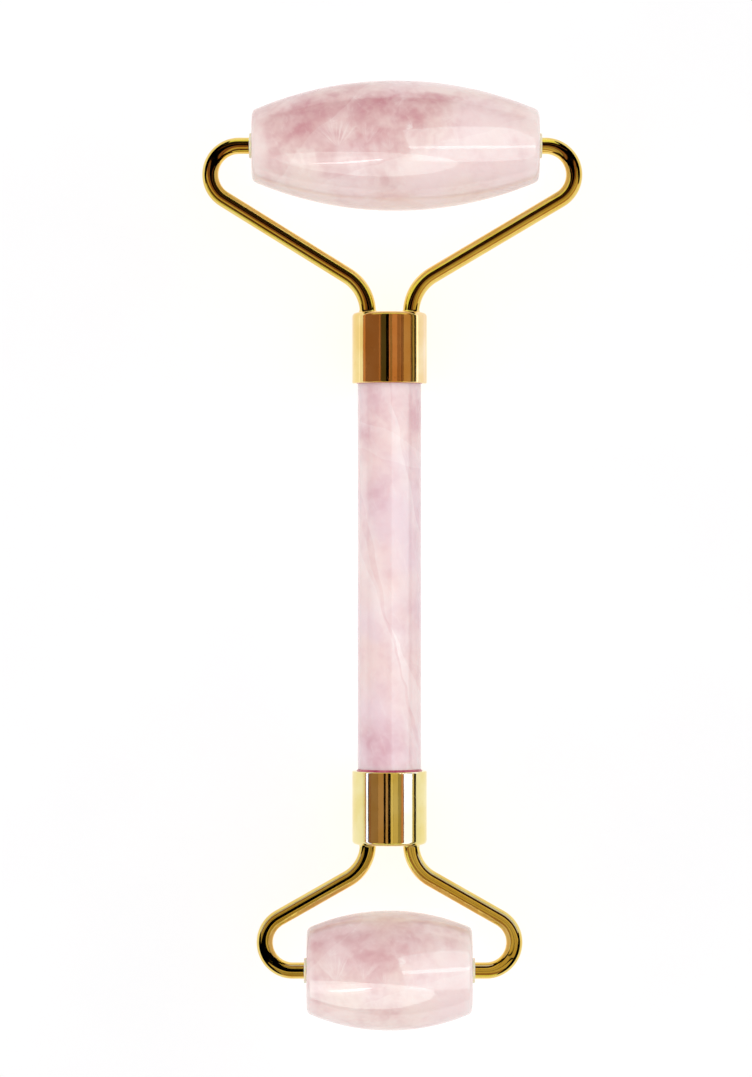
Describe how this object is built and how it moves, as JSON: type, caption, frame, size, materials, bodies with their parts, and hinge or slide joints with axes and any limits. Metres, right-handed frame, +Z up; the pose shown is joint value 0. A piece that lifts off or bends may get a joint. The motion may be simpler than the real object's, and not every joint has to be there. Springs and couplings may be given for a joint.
{
  "type": "face roller",
  "caption": "Face massage roller: a polished stone rod handle with a gold wire fork and a free-turning barrel-shaped stone roller at each end, one larger than the other.",
  "frame": {"origin": "bottom centre of the bounding box as the roller lies on the barrels of its stone rollers", "axes": "+Y along the handle towards the large roller, +X along the axles of the rollers, +Z up and square to the plane of the forks"},
  "size_m": [0.058, 0.145, 0.0199],
  "materials": {
    "stone": "polished translucent rose quartz with white veils",
    "gold_metal": "polished yellow gold plating",
    "bush": "moulded natural nylon",
    "adhesive": "cured resin, tinted pink by the stone"
  },
  "bodies": {
    "frame": {"handle_rod": "stone", "upper_ferrule": "gold_metal", "lower_ferrule": "gold_metal", "upper_adhesive": "adhesive", "lower_adhesive": "adhesive", "upper_left_arm": "gold_metal", "upper_left_braze": "gold_metal", "upper_right_arm": "gold_metal", "upper_right_braze": "gold_metal", "lower_left_arm": "gold_metal", "lower_left_braze": "gold_metal", "lower_right_arm": "gold_metal", "lower_right_braze": "gold_metal"},
    "large_roller": {"large_roller": "stone", "large_left_bush": "bush", "large_left_bush_adhesive": "adhesive", "large_right_bush": "bush", "large_right_bush_adhesive": "adhesive"},
    "small_roller": {"small_roller": "stone", "small_left_bush": "bush", "small_left_bush_adhesive": "adhesive", "small_right_bush": "bush", "small_right_bush_adhesive": "adhesive"}
  },
  "joints": [
    {"name": "large_roller_spin", "type": "hinge", "parent": "frame", "child": "large_roller", "pos_m": [0.0005, 0.06255, 0.00995], "axis": [1, 0, 0], "continuous": true},
    {"name": "small_roller_spin", "type": "hinge", "parent": "frame", "child": "small_roller", "pos_m": [-0.00042, -0.06335, 0.00995], "axis": [1, 0, 0], "continuous": true}
  ]
}
